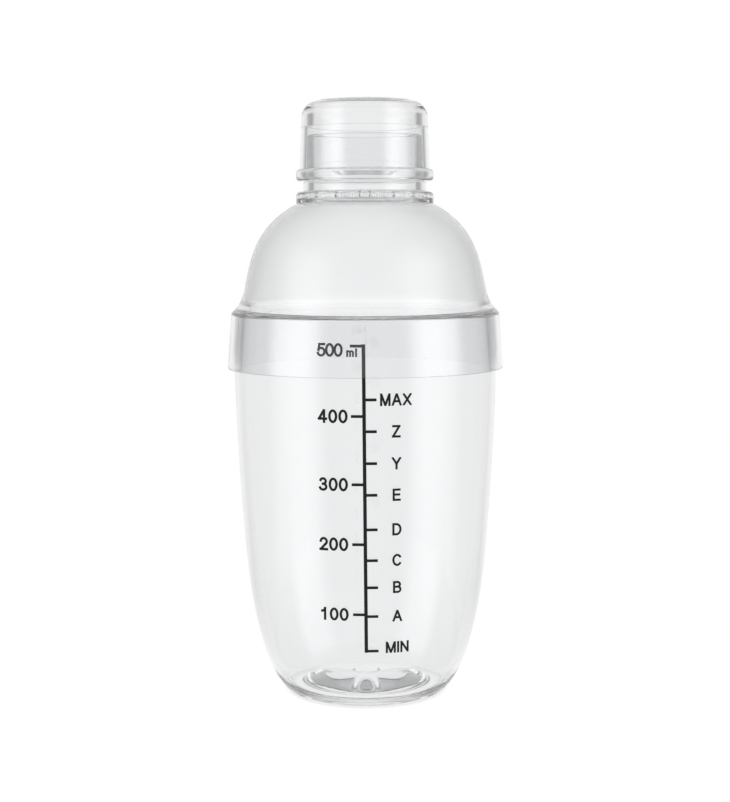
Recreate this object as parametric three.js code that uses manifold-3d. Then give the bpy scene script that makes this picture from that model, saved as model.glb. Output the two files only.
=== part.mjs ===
// Clear cocktail shaker: a tapered cup, a domed lid with a strainer moulded into its neck, and a push-on cap.
// Millimetres, +Z up. The origin is the centre of the ring that the cup stands on.

import * as THREE from 'three';
import { mergeVertices } from 'three/addons/utils/BufferGeometryUtils.js';
import Module from 'manifold-3d';

// Driving dimensions: fits
const FIT_CLEARANCE = 0.3; // beside a rim or neck that something is pushed on to
const SEAT_CLEARANCE = 0.3; // between a seat and the edge that rests on it

// Driving dimensions: cup
const CUP_WALL = 2.0;
const FOOT_RADIUS = 24.2; // outer edge of the ring that the cup stands on
const FOOT_RING_WIDTH = 3.4;
const FOOT_SWEEP = 7.0; // how far the bowl runs out level before it turns up
const BASE_WALL = 2.6; // floor above the standing ring
const FLOOR_REACH = 0.7; // how far that floor runs beyond the ring
const FLOOR_SWEEP = 6.0; // how far the inside of the bowl runs out level before it turns up
const CROWN_HEIGHT = 4.8; // raised middle of the floor
const CROWN_MARGIN = 0.6; // how far it reaches over the standing ring
const CROWN_POWER = 4; // its height falls off with this power of the distance from the axis
const RECESS_DEPTH = 2.0; // hollow under the base, inside the ring
const RECESS_SLOPE = 0.5; // run of the slope from the ring up into it
const GATE_RADIUS = 4.4; // round mark where the mould was filled
const GATE_HEIGHT = 0.5;
const BOWL_RADIUS = 39.65;
const BOWL_HEIGHT = 45.0;
const BOWL_RISE = 22.5; // how early the bowl starts to lean into the wall
const BOWL_LEAN = 0.082; // outward lean of the wall at the top of the bowl
const BRIM_RADIUS = 43.0; // widest ring of the cup, just below the skirt
const BRIM_HEIGHT = 107.4;
const BRIM_LEAN = 0.013;
const RIM_HEIGHT = 17.6; // coned rim above the brim, which the skirt goes over
const RIM_TAPER = 1.23; // radius lost over the rim's height
const RIM_ROUND = 0.3;

// Driving dimensions: lid
const LID_WALL = 2.0;
const SKIRT_WALL = 2.0;
const SKIRT_EDGE = 0.3; // rounding of the skirt's lower edge
const SEAT_WIDTH = 2.2; // flat ledge that rests on the cup's rim
const SEAT_TO_CORNER = 0.5; // from the seat up to the skirt's outer corner
const FLARE_WIDTH = 4.4; // hollow sweep from the skirt's corner in to the dome
const FLARE_HEIGHT = 8.0;
const FLARE_RUN = 1.35; // how far the flare starts out from the corner, inwards and upwards
const FLARE_CLIMB = 1.7;
const FLARE_TURN = 5.3; // how early the flare turns upright into the dome
const DOME_HEIGHT = 27.5;
const DOME_LEAN = 0.2; // inward lean of the dome at its foot
const DOME_RISE = 10.6; // how long the dome stays upright above its foot
const SHOULDER_REACH = 13.2; // run and drop of the dome's shoulder below the flange
const SHOULDER_DROP = 7.15;
const FLANGE_REACH = 2.4; // flange beyond the collar
const FLANGE_HEIGHT = 3.9;
const FLANGE_EDGE = 1.4;
const COLLAR_STEP = 0.9; // collar beyond the neck, which the cap rests on
const COLLAR_HEIGHT = 3.1;
const NECK_RADIUS = 19.2;
const NECK_WALL = 2.2;
const NECK_HEIGHT = 14.9;
const NECK_DRAFT = 0.0355; // radius lost for each millimetre of height
const NECK_EDGE = 0.6;
const STRAINER_DROP = 0.4; // from the flange's top down to the strainer plate
const STRAINER_THICKNESS = 1.8;
const STRAINER_HOLE_RADIUS = 2.0;
const STRAINER_PITCH = 6.2; // from one ring of holes to the next
const HOLES_ADDED = 6; // each ring has this many more holes than the one inside it
const STRAINER_MARGIN = 1.5; // least solid rim outside the last ring of holes

// Driving dimensions: cap
const CAP_WALL = 1.8;
const CAP_TOP = 2.0;
const CAP_HEADROOM = 9.3; // from the neck's rim up to the cap's ceiling
const CAP_CORNER = 5.4;
const CAP_STEP = 1.7; // the bore is this much narrower above the neck's rim
const CAP_STEP_GAP = 2.8; // from the neck's rim up to that step
const CEILING_CORNER = 1.5;
const BEAD_REACH = 1.3; // rounded lip round the cap's lower edge
const BEAD_HEIGHT = 3.8;
const BEAD_EDGE = 1.2;

// Facets
const TURN_SEGMENTS = 48;
const HOLE_SEGMENTS = 14;
const CURVE_STEPS = 9;
const EDGE_STEPS = 3;

// Levels, from the ground up
const RIM_TOP = BRIM_HEIGHT + RIM_HEIGHT;
const RIM_SHOULDER = RIM_TOP - RIM_ROUND;
const SKIRT_BOTTOM = BRIM_HEIGHT + SEAT_CLEARANCE;
const SEAT_LEVEL = RIM_TOP + SEAT_CLEARANCE;
const CORNER_LEVEL = SEAT_LEVEL + SEAT_TO_CORNER;
const DOME_FOOT = CORNER_LEVEL + FLARE_HEIGHT;
const DOME_TOP = DOME_FOOT + DOME_HEIGHT;
const FLANGE_TOP = DOME_TOP + FLANGE_HEIGHT;
const COLLAR_TOP = FLANGE_TOP + COLLAR_HEIGHT;
const STRAINER_TOP = FLANGE_TOP - STRAINER_DROP;
const STRAINER_BOTTOM = STRAINER_TOP - STRAINER_THICKNESS;
const NECK_TOP = COLLAR_TOP + NECK_HEIGHT;
const CAP_BOTTOM = COLLAR_TOP + SEAT_CLEARANCE;
const STEP_LEVEL = NECK_TOP + CAP_STEP_GAP;
const CEILING_LEVEL = NECK_TOP + CAP_HEADROOM;
const CAP_LEVEL = CEILING_LEVEL + CAP_TOP;

// Radii that more than one outline shares
const RING_INNER = FOOT_RADIUS - FOOT_RING_WIDTH;
const rimRadius = (z) => BRIM_RADIUS - (RIM_TAPER * (z - BRIM_HEIGHT)) / RIM_HEIGHT;
const skirtBore = (z) => rimRadius(z) + FIT_CLEARANCE;
const skirtRadius = (z) => skirtBore(z) + SKIRT_WALL;
const neckRadius = (z) => NECK_RADIUS - NECK_DRAFT * (z - COLLAR_TOP);
const capBore = (z) => neckRadius(z) + FIT_CLEARANCE;
const capRadius = (z) => capBore(z) + CAP_WALL;
const COLLAR_RADIUS = NECK_RADIUS + COLLAR_STEP;
const FLANGE_RADIUS = COLLAR_RADIUS + FLANGE_REACH;
const STRAINER_RADIUS = NECK_RADIUS - NECK_WALL;
const DOME_RADIUS = skirtRadius(CORNER_LEVEL) - FLARE_WIDTH;

// Outlines are lists of points: x is the radius and y the height
const at = (radius, height) => new THREE.Vector2(radius, height);

function curve(start, startHandle, endHandle, end) {
  return new THREE.CubicBezierCurve(start, startHandle, endHandle, end).getPoints(CURVE_STEPS);
}

// A quarter or half round edge, turning between two angles that are given in quarter turns.
function edge(centre, radius, fromQuarter, toQuarter) {
  const quarter = Math.PI / 2;
  const clockwise = toQuarter < fromQuarter;
  const arc = new THREE.EllipseCurve(
    centre.x, centre.y, radius, radius, fromQuarter * quarter, toQuarter * quarter, clockwise,
  );
  return arc.getPoints(EDGE_STEPS * Math.abs(toQuarter - fromQuarter));
}

// The same outline moved sideways by a wall's thickness, to the left of the way it runs, with mitred corners.
function beside(outline, wall) {
  const leftOf = (from, to) => at(from.y - to.y, to.x - from.x).normalize();
  return outline.map((point, i) => {
    const before = i > 0 ? leftOf(outline[i - 1], point) : leftOf(point, outline[i + 1]);
    const after = i < outline.length - 1 ? leftOf(point, outline[i + 1]) : before;
    const mitre = before.clone().add(after).multiplyScalar(wall / (1 + before.dot(after)));
    return point.clone().add(mitre);
  });
}

// Cup, outside: the gate mark in the recess, the standing ring, the bowl and the body up to the rim's shoulder
function cupOutside() {
  const gateLevel = RECESS_DEPTH - GATE_HEIGHT;
  const bowlTop = at(BOWL_RADIUS, BOWL_HEIGHT);
  const brim = at(BRIM_RADIUS, BRIM_HEIGHT);
  const bodyHandle = (BRIM_HEIGHT - BOWL_HEIGHT) / 3; // a third of the way, so that the lean changes evenly
  const under = [
    at(0, gateLevel),
    at(GATE_RADIUS - GATE_HEIGHT, gateLevel),
    at(GATE_RADIUS, RECESS_DEPTH),
    at(RING_INNER - RECESS_SLOPE, RECESS_DEPTH),
    at(RING_INNER, 0),
  ];
  const bowl = curve(
    at(FOOT_RADIUS, 0),
    at(FOOT_RADIUS + FOOT_SWEEP, 0),
    at(BOWL_RADIUS - BOWL_LEAN * BOWL_RISE, BOWL_HEIGHT - BOWL_RISE),
    bowlTop,
  );
  const body = curve(
    bowlTop,
    at(BOWL_RADIUS + BOWL_LEAN * bodyHandle, BOWL_HEIGHT + bodyHandle),
    at(BRIM_RADIUS - BRIM_LEAN * bodyHandle, BRIM_HEIGHT - bodyHandle),
    brim,
  );
  return { under, bowl: bowl.slice(0, -1), body: [...body, at(rimRadius(RIM_SHOULDER), RIM_SHOULDER)] };
}

// The raised middle of the floor, from the axis outwards
function crown() {
  const radius = RING_INNER + CROWN_MARGIN;
  return Array.from({ length: CURVE_STEPS + 1 }, (_, step) => {
    const share = Math.sin((Math.PI / 2) * (step / CURVE_STEPS));
    return at(share * radius, BASE_WALL + CROWN_HEIGHT * (1 - share ** CROWN_POWER));
  });
}

// Cup, whole: the inside has a crowned floor and runs up beside the body
function cupOutline() {
  const { under, bowl, body } = cupOutside();
  const floorEnd = FOOT_RADIUS + FLOOR_REACH;
  const bodyInside = beside(body, CUP_WALL);
  const bowlInside = curve(
    at(floorEnd, BASE_WALL),
    at(floorEnd + FLOOR_SWEEP, BASE_WALL),
    at(bodyInside[0].x - BOWL_LEAN * BOWL_RISE, bodyInside[0].y - BOWL_RISE),
    bodyInside[0],
  );
  const inside = [...crown(), ...bowlInside.slice(0, -1), ...bodyInside];
  const rimReach = rimRadius(RIM_SHOULDER);
  const rimOuter = edge(at(rimReach - RIM_ROUND, RIM_SHOULDER), RIM_ROUND, 0, 1).slice(1);
  const rimInner = edge(at(rimReach - CUP_WALL + RIM_ROUND, RIM_SHOULDER), RIM_ROUND, 1, 2).slice(0, -1);
  return [...under, ...bowl, ...body, ...rimOuter, ...rimInner, ...inside.reverse()];
}

// Lid: skirt, hollow flare, dome, flange, collar and neck outside, with the strainer plate across the neck
function lidOutside() {
  const corner = at(skirtRadius(CORNER_LEVEL), CORNER_LEVEL);
  const domeFoot = at(DOME_RADIUS, DOME_FOOT);
  const flangeFoot = at(FLANGE_RADIUS, DOME_TOP);
  const skirtFoot = at(skirtRadius(SKIRT_BOTTOM) - SKIRT_EDGE, SKIRT_BOTTOM + SKIRT_EDGE);
  const flare = curve(
    corner,
    at(corner.x - FLARE_RUN, corner.y + FLARE_CLIMB),
    at(DOME_RADIUS + DOME_LEAN * FLARE_TURN, DOME_FOOT - FLARE_TURN),
    domeFoot,
  );
  const dome = curve(
    domeFoot,
    at(DOME_RADIUS - DOME_LEAN * DOME_RISE, DOME_FOOT + DOME_RISE),
    at(FLANGE_RADIUS + SHOULDER_REACH, DOME_TOP - SHOULDER_DROP),
    flangeFoot,
  );
  const flangeEdge = at(FLANGE_RADIUS - FLANGE_EDGE, FLANGE_TOP - FLANGE_EDGE);
  const neckEdge = at(neckRadius(NECK_TOP) - NECK_EDGE, NECK_TOP - NECK_EDGE);
  const neck = [
    ...edge(flangeEdge, FLANGE_EDGE, 0, 1),
    at(COLLAR_RADIUS, FLANGE_TOP),
    at(COLLAR_RADIUS, COLLAR_TOP),
    at(NECK_RADIUS, COLLAR_TOP),
    ...edge(neckEdge, NECK_EDGE, 0, 1),
  ];
  return { skirt: edge(skirtFoot, SKIRT_EDGE, -1, 0), flare: flare.slice(0, -1), dome, neck };
}

function lidOutline() {
  const { skirt, flare, dome, neck } = lidOutside();
  const domeInside = beside(dome, LID_WALL).reverse();
  const inside = [
    at(0, STRAINER_BOTTOM),
    at(STRAINER_RADIUS, STRAINER_BOTTOM),
    ...domeInside,
    at(skirtBore(SEAT_LEVEL) - SEAT_WIDTH, SEAT_LEVEL),
    at(skirtBore(SEAT_LEVEL), SEAT_LEVEL),
    at(skirtBore(SKIRT_BOTTOM), SKIRT_BOTTOM),
  ];
  const bore = [at(STRAINER_RADIUS, NECK_TOP), at(STRAINER_RADIUS, STRAINER_TOP), at(0, STRAINER_TOP)];
  return [...inside, ...skirt, ...flare, ...dome, ...neck, ...bore];
}

// Centres of the strainer's holes: one in the middle, then rings
function strainerHoles() {
  const lastRing = STRAINER_RADIUS - STRAINER_MARGIN - STRAINER_HOLE_RADIUS;
  const rings = Math.floor(lastRing / STRAINER_PITCH);
  const centres = [at(0, 0)];
  for (let ring = 1; ring <= rings; ring += 1) {
    const holes = HOLES_ADDED * ring;
    for (let hole = 0; hole < holes; hole += 1) {
      const angle = (2 * Math.PI * hole) / holes;
      centres.push(at(ring * STRAINER_PITCH * Math.cos(angle), ring * STRAINER_PITCH * Math.sin(angle)));
    }
  }
  return centres;
}

// Cap: a drafted wall with a rounded lip below, a rounded corner above and a step in its bore above the neck
function capOutline() {
  const cornerLevel = CAP_LEVEL - CAP_CORNER;
  const corner = at(capRadius(cornerLevel) - CAP_CORNER, cornerLevel);
  const ceilingSide = CEILING_LEVEL - CEILING_CORNER;
  const ceilingCorner = at(capBore(ceilingSide) - CAP_STEP - CEILING_CORNER, ceilingSide);
  const beadTop = CAP_BOTTOM + BEAD_HEIGHT;
  const beadRadius = capRadius(beadTop) + BEAD_REACH;
  const lowerBead = at(beadRadius - BEAD_EDGE, CAP_BOTTOM + BEAD_EDGE);
  const upperBead = at(beadRadius - BEAD_EDGE, beadTop - BEAD_EDGE);
  return [
    at(0, CEILING_LEVEL),
    ...edge(ceilingCorner, CEILING_CORNER, 1, 0),
    at(capBore(STEP_LEVEL) - CAP_STEP, STEP_LEVEL),
    at(capBore(STEP_LEVEL), STEP_LEVEL),
    at(capBore(CAP_BOTTOM), CAP_BOTTOM),
    ...edge(lowerBead, BEAD_EDGE, -1, 0),
    ...edge(upperBead, BEAD_EDGE, 0, 1),
    at(capRadius(beadTop), beadTop),
    ...edge(corner, CAP_CORNER, 0, 1),
    at(0, CAP_LEVEL),
  ];
}

// One closed body with shared corners, without the slivers that a turned outline leaves on its axis
function welded(geometry) {
  geometry.deleteAttribute('normal');
  geometry.deleteAttribute('uv');
  const merged = mergeVertices(geometry);
  const corners = merged.index.array;
  const kept = [];
  for (let i = 0; i < corners.length; i += 3) {
    const [a, b, c] = corners.slice(i, i + 3);
    if (a !== b && b !== c && c !== a) kept.push(a, b, c);
  }
  merged.setIndex(kept);
  return merged;
}

// An outline turned about the Z axis. It runs anticlockwise, from the axis and back to it.
function turned(outline) {
  const lathe = new THREE.LatheGeometry(outline, TURN_SEGMENTS);
  return welded(lathe.rotateX(Math.PI / 2));
}

function drilled(body, holes, radius, bottom, top) {
  let solid = manifoldOf(body);
  for (const hole of holes) {
    const drill = new THREE.CylinderGeometry(radius, radius, top - bottom, HOLE_SEGMENTS);
    drill.rotateX(Math.PI / 2).translate(hole.x, hole.y, (top + bottom) / 2);
    solid = solid.subtract(manifoldOf(welded(drill)));
  }
  const { vertProperties, triVerts } = solid.getMesh();
  const geometry = new THREE.BufferGeometry();
  geometry.setAttribute('position', new THREE.BufferAttribute(vertProperties, 3));
  return geometry.setIndex(new THREE.BufferAttribute(triVerts, 1));
}

function manifoldOf(geometry) {
  const vertProperties = new Float32Array(geometry.getAttribute('position').array);
  const triVerts = new Uint32Array(geometry.index.array);
  return new wasm.Manifold(new wasm.Mesh({ numProp: 3, vertProperties, triVerts }));
}

function piece(name, geometry, finish) {
  geometry.computeVertexNormals();
  const mesh = new THREE.Mesh(geometry, new THREE.MeshStandardMaterial(finish));
  mesh.name = name;
  return mesh;
}

const CLEAR = { color: 0xe9ecee, roughness: 0.06, metalness: 0, transparent: true, opacity: 0.35 };
const FROSTED = { color: 0xe4e7e9, roughness: 0.5, metalness: 0, transparent: true, opacity: 0.7 };

const wasm = await Module();
wasm.setup();

const drillBottom = STRAINER_BOTTOM - STRAINER_THICKNESS;
const drillTop = STRAINER_TOP + STRAINER_THICKNESS;
const lid = drilled(turned(lidOutline()), strainerHoles(), STRAINER_HOLE_RADIUS, drillBottom, drillTop);

const shaker = new THREE.Group();
shaker.add(
  piece('cup', turned(cupOutline()), CLEAR),
  piece('strainer_lid', lid, FROSTED),
  piece('cap', turned(capOutline()), CLEAR),
);

export default shaker;
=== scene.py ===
"""Looks of a clear plastic cocktail shaker: cup with a printed scale, frosted lid with a strainer, and cap.

Metres, +Z up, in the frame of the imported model. Every moulding is an outline turned about the Z axis.
"""

import logging
import math
from collections.abc import Iterable, Sequence
from dataclasses import dataclass, field
from enum import Enum

import bpy
import numpy as np
from mathutils import Matrix, Vector
from mathutils.geometry import delaunay_2d_cdt


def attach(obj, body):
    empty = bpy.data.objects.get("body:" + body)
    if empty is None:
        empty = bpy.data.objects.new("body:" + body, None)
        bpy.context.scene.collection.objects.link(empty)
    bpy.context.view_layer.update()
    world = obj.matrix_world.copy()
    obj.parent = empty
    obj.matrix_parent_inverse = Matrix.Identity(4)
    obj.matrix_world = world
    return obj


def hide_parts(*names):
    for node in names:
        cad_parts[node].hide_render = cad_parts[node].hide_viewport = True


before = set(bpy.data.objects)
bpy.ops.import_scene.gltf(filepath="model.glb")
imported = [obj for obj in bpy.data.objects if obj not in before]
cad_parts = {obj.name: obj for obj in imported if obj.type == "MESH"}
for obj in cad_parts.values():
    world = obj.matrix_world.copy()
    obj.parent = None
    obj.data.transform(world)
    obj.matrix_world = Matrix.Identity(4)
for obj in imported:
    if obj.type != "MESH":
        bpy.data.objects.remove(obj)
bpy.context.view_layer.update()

log = logging.getLogger("shaker")

Number = float | int
Colour = tuple[float, float, float, float]
Stops = tuple[tuple[float, float], ...]

TURN_SEGMENTS = 360
FIT_CLEARANCE = 0.0003  # beside a rim or neck that something is pushed on to
SEAT_CLEARANCE = 0.0003  # between a seat and the edge that rests on it
SATIN_ATTRIBUTE = "satin"
LINE_STEPS = 10  # spans of a pen stroke along one straight line
BOW_STEPS = 28  # spans of a pen stroke along part of an ellipse
MILLIMETRES = 1000.0  # in a metre
MILLILITRES = 1e6  # in a cubic metre
INSIDE_TRIANGLES = 1  # the triangulation gives back only what lies inside its faces


class Slot(Enum):
    """Material slots of the record."""

    CLEAR = "clear_plastic"
    FROSTED = "frosted_plastic"
    INK = "scale_ink"


class Align(Enum):
    """Which part of a printed word stands at its given place along the scale."""

    MIDDLE = 0.5
    RIGHT = 1.0


# Outlines


def at(radius: float, height: float) -> np.ndarray:
    """A one-point outline."""
    return np.array([[radius, height]])


def bezier(start: Sequence[float], handle: Sequence[float], last_handle: Sequence[float],
           end: Sequence[float], steps: int = 40) -> np.ndarray:
    """Points along a cubic curve.

    Args:
        start: First point, as radius and height.
        handle: Point that the curve heads for as it leaves the start.
        last_handle: Point that the curve comes from as it reaches the end.
        end: Last point.
        steps: Number of spans.

    Returns:
        An array of steps + 1 points: the sum of the four points, each weighted by its cubic Bernstein
        polynomial.
    """
    t = np.linspace(0.0, 1.0, steps + 1)[:, None]
    weights = np.hstack([(1 - t) ** 3, 3 * t * (1 - t) ** 2, 3 * t * t * (1 - t), t ** 3])
    return weights @ np.array([start, handle, last_handle, end])


def arc(centre: Sequence[float], radius: float, from_degrees: float, to_degrees: float,
        steps: int = 12) -> np.ndarray:
    """Points along a circular arc.

    Args:
        centre: Middle of the circle, as radius and height.
        radius: The circle's own radius.
        from_degrees: Angle of the first point, anticlockwise from the outward direction.
        to_degrees: Angle of the last point.
        steps: Number of spans.

    Returns:
        An array of steps + 1 points at the centre plus the radius times cosine and sine.
    """
    angles = np.radians(np.linspace(from_degrees, to_degrees, steps + 1))
    return np.array(centre) + radius * np.column_stack([np.cos(angles), np.sin(angles)])


def unit(vectors: np.ndarray) -> np.ndarray:
    """The same vectors with length one, or zero where they have none."""
    lengths = np.linalg.norm(vectors, axis=-1, keepdims=True)
    return np.divide(vectors, lengths, out=np.zeros_like(vectors), where=lengths > 0)


def beside(outline: np.ndarray, wall: float) -> np.ndarray:
    """An outline moved sideways by a wall's thickness.

    Args:
        outline: Points to offset.
        wall: Distance, to the left of the way that the outline runs.

    Returns:
        As many points, each moved along the mitre of its two neighbouring spans.
    """
    spans = unit(np.diff(outline, axis=0))
    left = np.column_stack([-spans[:, 1], spans[:, 0]])
    before = np.vstack([left[:1], left])
    after = np.vstack([left, left[-1:]])
    spread = 1 + np.sum(before * after, axis=1, keepdims=True)
    return outline + (before + after) * wall / spread


def softened(outline: np.ndarray, radius: float, least_turn_degrees: float = 12.0,
             steps: int = 6) -> np.ndarray:
    """An outline with its sharp corners rounded.

    Args:
        outline: Points of an open outline.
        radius: How far from a corner its rounding starts, limited to 0.4 of the shorter span beside it.
        least_turn_degrees: Corners that turn less than this stay as they are.
        steps: Points in each rounding.

    Returns:
        The points, with a quadratic curve in the place of each sharp corner.
    """
    back = np.vstack([np.zeros((1, 2)), outline[:-1] - outline[1:]])
    ahead = np.vstack([outline[1:] - outline[:-1], np.zeros((1, 2))])
    turn = np.degrees(np.arccos(np.clip(np.sum(unit(-back) * unit(ahead), axis=1), -1, 1)))
    turn[[0, -1]] = 0.0
    shorter = np.minimum(np.linalg.norm(back, axis=1), np.linalg.norm(ahead, axis=1))
    reach = np.minimum(radius, 0.4 * shorter)[:, None]
    t = np.linspace(0.0, 1.0, steps)[None, :, None]
    start = (outline + unit(back) * reach)[:, None]
    end = (outline + unit(ahead) * reach)[:, None]
    bends = (1 - t) ** 2 * start + 2 * t * (1 - t) * outline[:, None] + t * t * end
    sharp = turn >= least_turn_degrees
    bends[~sharp, 0] = outline[~sharp]
    kept = np.ones(bends.shape[:2], bool)
    kept[~sharp, 1:] = False
    return bends[kept]


def braced(outline: np.ndarray, brace: float = 0.00012, least: float = 0.0018) -> np.ndarray:
    """An outline with an extra point close to each end of its long spans, so that they shade flat.

    Args:
        outline: Points of an open outline.
        brace: Distance of the extra points from the ends.
        least: Spans shorter than this get none.

    Returns:
        The points, with the extra ones between them.
    """
    spans = np.diff(outline, axis=0)
    step = unit(spans) * brace
    rows = np.stack([outline[:-1], outline[:-1] + step, outline[1:] - step], axis=1)
    kept = np.ones(rows.shape[:2], bool)
    kept[np.linalg.norm(spans, axis=1) < least, 1:] = False
    return np.vstack([rows[kept], outline[-1:]])


# Meshes


def mesh_from(name: str, points: np.ndarray, faces: Iterable[np.ndarray]) -> bpy.types.Mesh:
    """A smooth-shaded mesh from whole arrays.

    Args:
        name: The mesh's name.
        points: Vertices, one row each.
        faces: Arrays of faces, each with as many columns as its faces have corners.

    Returns:
        The new mesh.
    """
    groups = list(faces)
    corners = np.concatenate([group.ravel() for group in groups])
    sizes = np.concatenate([np.full(len(group), group.shape[1]) for group in groups])
    starts = np.concatenate([[0], np.cumsum(sizes)[:-1]])
    mesh = bpy.data.meshes.new(name)
    mesh.vertices.add(len(points))
    mesh.vertices.foreach_set("co", points.astype(np.float32).ravel())
    mesh.loops.add(len(corners))
    mesh.loops.foreach_set("vertex_index", corners.astype(np.int32))
    mesh.polygons.add(len(sizes))
    mesh.polygons.foreach_set("loop_start", starts.astype(np.int32))
    mesh.polygons.foreach_set("use_smooth", np.ones(len(sizes), bool))
    mesh.update(calc_edges=True)
    mesh.validate()
    return mesh


def swept(outline: np.ndarray, segments: int) -> tuple[np.ndarray, list[np.ndarray]]:
    """An outline turned about the Z axis, as arrays.

    Args:
        outline: Radius and height, anticlockwise, with its first and last points on the axis.
        segments: Steps in the turn.

    Returns:
        The points and the faces of a closed shape: the point at radius r and angle a is (r cos a, r sin a,
        height), and each end of the outline is one pole. The faces are quads and then the poles' triangles.
    """
    ring = outline[1:-1]
    angles = np.linspace(0.0, 2 * math.pi, segments, endpoint=False)
    grid = np.empty((len(ring), segments, 3))
    grid[..., 0] = ring[:, :1] * np.cos(angles)
    grid[..., 1] = ring[:, :1] * np.sin(angles)
    grid[..., 2] = ring[:, 1:]
    poles = np.array([[0.0, 0.0, outline[0, 1]], [0.0, 0.0, outline[-1, 1]]])
    index = np.arange(grid.shape[0] * segments).reshape(-1, segments)
    along = np.roll(index, -1, axis=1)
    quads = np.stack([index[:-1], along[:-1], along[1:], index[1:]], axis=-1).reshape(-1, 4)
    first, last = np.full(segments, index.size), np.full(segments, index.size + 1)
    start_fan = np.column_stack([first, along[0], index[0]])
    end_fan = np.column_stack([last, index[-1], along[-1]])
    return np.vstack([grid.reshape(-1, 3), poles]), [quads, np.vstack([start_fan, end_fan])]


def turned(name: str, outline: np.ndarray) -> bpy.types.Mesh:
    """An outline turned about the Z axis, as a mesh of that name."""
    return mesh_from(name, *swept(outline, TURN_SEGMENTS))


def placed(name: str, mesh: bpy.types.Mesh, material: bpy.types.Material) -> bpy.types.Object:
    """A mesh as an object at the origin.

    Args:
        name: The object's name.
        mesh: Its mesh, with the object's place in its points.
        material: The one material that it gets.

    Returns:
        The new object, in the scene.
    """
    piece = bpy.data.objects.new(name, mesh)
    bpy.context.scene.collection.objects.link(piece)
    mesh.materials.clear()
    mesh.materials.append(material)
    return piece


def closed_volume(mesh: bpy.types.Mesh) -> float:
    """Volume inside a closed mesh.

    Args:
        mesh: The mesh, whose faces may have any number of corners.

    Returns:
        A sixth of the sum of its triangles' triple products, which is above 0 if they face outwards.
    """
    mesh.calc_loop_triangles()
    corners = np.empty(len(mesh.loop_triangles) * 3, np.int32)
    mesh.loop_triangles.foreach_get("vertices", corners)
    points = np.empty(len(mesh.vertices) * 3, np.float32)
    mesh.vertices.foreach_get("co", points)
    a, b, c = points.reshape(-1, 3).astype(float)[corners.reshape(-1, 3)].transpose(1, 0, 2)
    return float(np.sum(a * np.cross(b, c)) / 6)


# Shader maths


class Wire:
    """A shader value: a node's output socket, whose arithmetic adds Math nodes."""

    def __init__(self, bench: "Bench", socket: bpy.types.NodeSocket) -> None:
        """Keeps the socket and the bench that its nodes are on."""
        self.bench = bench
        self.socket = socket

    def __add__(self, other: "Wire | Number") -> "Wire":
        """This value plus another."""
        return self.bench.maths("ADD", self, other)

    def __radd__(self, other: Number) -> "Wire":
        """A number plus this value."""
        return self.bench.maths("ADD", other, self)

    def __sub__(self, other: "Wire | Number") -> "Wire":
        """This value less another."""
        return self.bench.maths("SUBTRACT", self, other)

    def __rsub__(self, other: Number) -> "Wire":
        """A number less this value."""
        return self.bench.maths("SUBTRACT", other, self)

    def __mul__(self, other: "Wire | Number") -> "Wire":
        """This value times another."""
        return self.bench.maths("MULTIPLY", self, other)

    def __rmul__(self, other: Number) -> "Wire":
        """A number times this value."""
        return self.bench.maths("MULTIPLY", other, self)

    def __truediv__(self, other: "Wire | Number") -> "Wire":
        """This value over another."""
        return self.bench.maths("DIVIDE", self, other)

    def __rtruediv__(self, other: Number) -> "Wire":
        """A number over this value."""
        return self.bench.maths("DIVIDE", other, self)


class Bench:
    """A node tree that is being wired."""

    def __init__(self, tree: bpy.types.NodeTree) -> None:
        """Takes a node tree and clears it."""
        self.tree = tree
        self.tree.nodes.clear()

    def add(self, kind: str, settings: dict[str, object] | None = None,
            sockets: dict[str | int, object] | None = None, output: str | int = 0) -> Wire | None:
        """Adds any node.

        Args:
            kind: Blender's name of the node's type, without its ShaderNode prefix.
            settings: The node's own settings, which are set first. "stops" holds a ramp's positions and
                grey levels.
            sockets: Values or wires for input sockets, by name or number.
            output: The output socket to give back, by name or number.

        Returns:
            That output as a wire, or None for a node without outputs.
        """
        node = self.tree.nodes.new("ShaderNode" + kind)
        for name, value in (settings or {}).items():
            if name == "stops":
                self._set_stops(node.color_ramp, value)
            else:
                setattr(node, name, value)
        for name, value in (sockets or {}).items():
            if isinstance(value, Wire):
                self.tree.links.new(value.socket, node.inputs[name])
            else:
                node.inputs[name].default_value = value
        return Wire(self, node.outputs[output]) if node.outputs else None

    @staticmethod
    def _set_stops(ramp: bpy.types.ColorRamp, stops: Sequence[tuple[float, float]]) -> None:
        """Gives a ramp its stops.

        Args:
            ramp: The ramp of a new node.
            stops: Positions and grey levels, in order.
        """
        while len(ramp.elements) < len(stops):
            ramp.elements.new(1.0)
        for element, (position, level) in zip(ramp.elements, stops):
            element.position = position
            element.color = (level, level, level, 1.0)

    def maths(self, operation: str, *values: "Wire | Number") -> Wire:
        """Adds a Math node for one operation on one to three values."""
        return self.add("Math", {"operation": operation}, dict(enumerate(values)))

    def mixed(self, share: Wire, first: Colour, second: Colour) -> Wire:
        """A colour between two, by share. A Mix node's colours are its sockets 6 and 7, and its output 2."""
        return self.add("Mix", {"data_type": "RGBA"}, {0: share, 6: first, 7: second}, output=2)

    def noise(self, place: Wire, size: float, detail: float) -> Wire:
        """Noise of about 0.5 on average, whose features are as wide as size."""
        sockets = {"Vector": place, "Scale": 1.0 / size, "Detail": detail}
        return self.add("TexNoise", sockets=sockets)


def new_material(name: str) -> tuple[bpy.types.Material, Bench]:
    """An empty node material.

    Args:
        name: The material's name.

    Returns:
        The material and the bench to wire it on.
    """
    material = bpy.data.materials.new(name)
    material.use_nodes = True
    return material, Bench(material.node_tree)


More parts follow.
